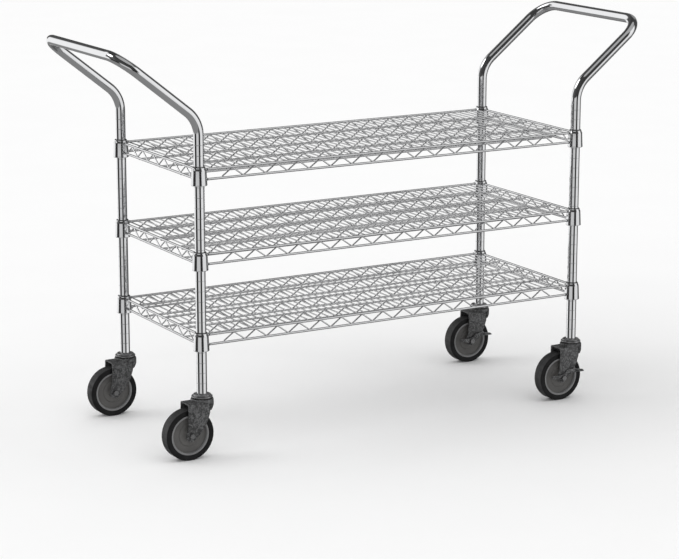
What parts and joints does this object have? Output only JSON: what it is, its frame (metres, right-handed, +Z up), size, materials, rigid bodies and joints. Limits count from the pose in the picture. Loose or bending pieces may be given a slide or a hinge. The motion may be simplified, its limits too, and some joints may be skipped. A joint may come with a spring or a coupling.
{
  "type": "wire shelf cart",
  "caption": "Chrome wire shelf cart with stacked shelves between two bent tube handles, rolling on swivel casters, some with a foot brake.",
  "frame": {"origin": "on the floor, under the middle of the cart", "axes": "+X along the length between the two handles, +Y across the depth, +Z up"},
  "size_m": [1.5172, 0.5141, 1.0033],
  "materials": {
    "chrome_tube": "bright plated tube",
    "chrome_wire": "bright plated wire",
    "chrome_collar": "bright plated pressed steel",
    "sleeve_plastic": "moulded black plastic",
    "zinc_steel": "spangled zinc coating",
    "plated_steel": "bright zinc plated fastener",
    "bearing_steel": "polished balls",
    "lever_steel": "zinc coated strap",
    "tyre_rubber": "smooth rubber tread",
    "core_plastic": "moulded grey plastic",
    "bush_bronze": "sintered bronze"
  },
  "bodies": {
    "frame": {"handle_post_left": "chrome_tube", "handle_post_right": "chrome_tube", "bottom_shelf_deck_wires": "chrome_wire", "bottom_shelf_edge_chords": "chrome_wire", "bottom_shelf_rib_chords": "chrome_wire", "bottom_shelf_side_zigzags": "chrome_wire", "bottom_shelf_rib_zigzags": "chrome_wire", "bottom_shelf_end_zigzags": "chrome_wire", "bottom_shelf_collars": "chrome_collar", "bottom_shelf_split_sleeves": "sleeve_plastic", "middle_shelf_deck_wires": "chrome_wire", "middle_shelf_edge_chords": "chrome_wire", "middle_shelf_rib_chords": "chrome_wire", "middle_shelf_side_zigzags": "chrome_wire", "middle_shelf_rib_zigzags": "chrome_wire", "middle_shelf_end_zigzags": "chrome_wire", "middle_shelf_collars": "chrome_collar", "middle_shelf_split_sleeves": "sleeve_plastic", "top_shelf_deck_wires": "chrome_wire", "top_shelf_edge_chords": "chrome_wire", "top_shelf_rib_chords": "chrome_wire", "top_shelf_side_zigzags": "chrome_wire", "top_shelf_rib_zigzags": "chrome_wire", "top_shelf_end_zigzags": "chrome_wire", "top_shelf_collars": "chrome_collar", "top_shelf_split_sleeves": "sleeve_plastic", "caster_stems": "plated_steel", "stem_sockets": "sleeve_plastic", "swivel_rings": "zinc_steel", "swivel_balls": "bearing_steel"},
    "caster_front_left": {"fork_front_left": "zinc_steel", "axle_bolt_front_left": "plated_steel", "axle_nut_front_left": "plated_steel"},
    "wheel_front_left": {"tyre_front_left": "tyre_rubber", "wheel_core_front_left": "core_plastic", "axle_bush_front_left": "bush_bronze"},
    "caster_back_left": {"fork_back_left": "zinc_steel", "axle_bolt_back_left": "plated_steel", "axle_nut_back_left": "plated_steel"},
    "wheel_back_left": {"tyre_back_left": "tyre_rubber", "wheel_core_back_left": "core_plastic", "axle_bush_back_left": "bush_bronze"},
    "caster_back_right": {"fork_back_right": "zinc_steel", "axle_bolt_back_right": "plated_steel", "axle_nut_back_right": "plated_steel", "brake_cam_back_right": "sleeve_plastic"},
    "wheel_back_right": {"tyre_back_right": "tyre_rubber", "wheel_core_back_right": "core_plastic", "axle_bush_back_right": "bush_bronze"},
    "caster_front_right": {"fork_front_right": "zinc_steel", "axle_bolt_front_right": "plated_steel", "axle_nut_front_right": "plated_steel", "brake_cam_front_right": "sleeve_plastic"},
    "wheel_front_right": {"tyre_front_right": "tyre_rubber", "wheel_core_front_right": "core_plastic", "axle_bush_front_right": "bush_bronze"},
    "brake_back_right": {"brake_lever_back_right": "lever_steel"},
    "brake_front_right": {"brake_lever_front_right": "lever_steel"}
  },
  "joints": [
    {"name": "swivel_front_left", "type": "hinge", "parent": "frame", "child": "caster_front_left", "pos_m": [-0.544, -0.223, 0.15], "axis": [0, 0, 1], "continuous": true},
    {"name": "spin_front_left", "type": "hinge", "parent": "caster_front_left", "child": "wheel_front_left", "pos_m": [-0.584, -0.223, 0.0635], "axis": [0, 1, 0], "continuous": true},
    {"name": "swivel_back_left", "type": "hinge", "parent": "frame", "child": "caster_back_left", "pos_m": [-0.544, 0.223, 0.15], "axis": [0, 0, 1], "continuous": true},
    {"name": "spin_back_left", "type": "hinge", "parent": "caster_back_left", "child": "wheel_back_left", "pos_m": [-0.584, 0.223, 0.0635], "axis": [0, 1, 0], "continuous": true},
    {"name": "swivel_back_right", "type": "hinge", "parent": "frame", "child": "caster_back_right", "pos_m": [0.544, 0.223, 0.15], "axis": [0, 0, 1], "continuous": true},
    {"name": "spin_back_right", "type": "hinge", "parent": "caster_back_right", "child": "wheel_back_right", "pos_m": [0.504, 0.223, 0.0635], "axis": [0, 1, 0], "continuous": true},
    {"name": "swivel_front_right", "type": "hinge", "parent": "frame", "child": "caster_front_right", "pos_m": [0.544, -0.223, 0.15], "axis": [0, 0, 1], "continuous": true},
    {"name": "spin_front_right", "type": "hinge", "parent": "caster_front_right", "child": "wheel_front_right", "pos_m": [0.504, -0.223, 0.0635], "axis": [0, 1, 0], "continuous": true},
    {"name": "brake_back_right", "type": "hinge", "parent": "caster_back_right", "child": "brake_back_right", "pos_m": [0.504, 0.223, 0.0635], "axis": [0, 1, 0], "range_deg": [0, 25]},
    {"name": "brake_front_right", "type": "hinge", "parent": "caster_front_right", "child": "brake_front_right", "pos_m": [0.504, -0.223, 0.0635], "axis": [0, 1, 0], "range_deg": [0, 25]}
  ]
}
